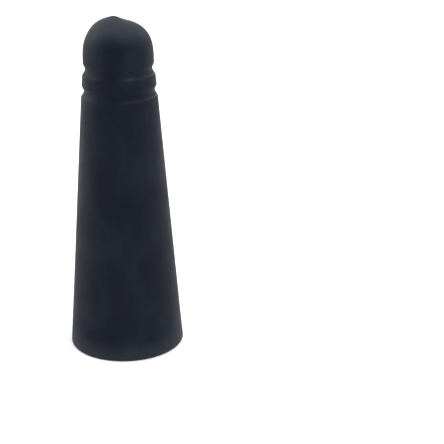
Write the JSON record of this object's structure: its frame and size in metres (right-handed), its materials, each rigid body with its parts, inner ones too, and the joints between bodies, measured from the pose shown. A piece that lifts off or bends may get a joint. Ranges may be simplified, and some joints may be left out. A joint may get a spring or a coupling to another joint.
{
  "type": "wifi antenna",
  "caption": "Short tapered stub antenna with a grooved, domed tip and a coaxial screw plug sunk in its flat base.",
  "frame": {"origin": "centre of the base rim, on the surface the antenna stands on", "axes": "+Z along the antenna's axis towards its domed tip; two flats of the nut face along X"},
  "size_m": [0.0148, 0.0148, 0.0427],
  "materials": {
    "housing": "matte",
    "coupling_nut": "polished",
    "snap_ring": "satin",
    "connector_body": "polished",
    "nut_gasket": "satin",
    "contact_insulator": "satin",
    "centre_pin": "polished",
    "pin_solder": "satin",
    "crimp_sleeve": "satin",
    "coax_core": "satin",
    "coax_dielectric": "satin",
    "coax_braid": "satin",
    "coax_jacket": "satin",
    "ground_sleeve": "satin",
    "sleeve_spacer": "matte",
    "sleeve_solder": "satin",
    "coil_former": "matte",
    "radiator_coil": "satin",
    "coil_solder": "satin",
    "shrink_tube": "satin"
  },
  "bodies": {
    "shell": {"housing": "housing", "coupling_nut": "coupling_nut", "snap_ring": "snap_ring"},
    "core": {"connector_body": "connector_body", "nut_gasket": "nut_gasket", "contact_insulator": "contact_insulator", "centre_pin": "centre_pin", "pin_solder": "pin_solder", "crimp_sleeve": "crimp_sleeve", "coax_core": "coax_core", "coax_dielectric": "coax_dielectric", "coax_braid": "coax_braid", "coax_jacket": "coax_jacket", "ground_sleeve": "ground_sleeve", "sleeve_spacer": "sleeve_spacer", "sleeve_solder": "sleeve_solder", "coil_former": "coil_former", "radiator_coil": "radiator_coil", "coil_solder": "coil_solder", "shrink_tube": "shrink_tube"}
  },
  "joints": [
    {"name": "core_turn", "type": "hinge", "parent": "shell", "child": "core", "pos_m": [0, 0, 0.0105], "axis": [0, 0, 1], "continuous": true}
  ]
}
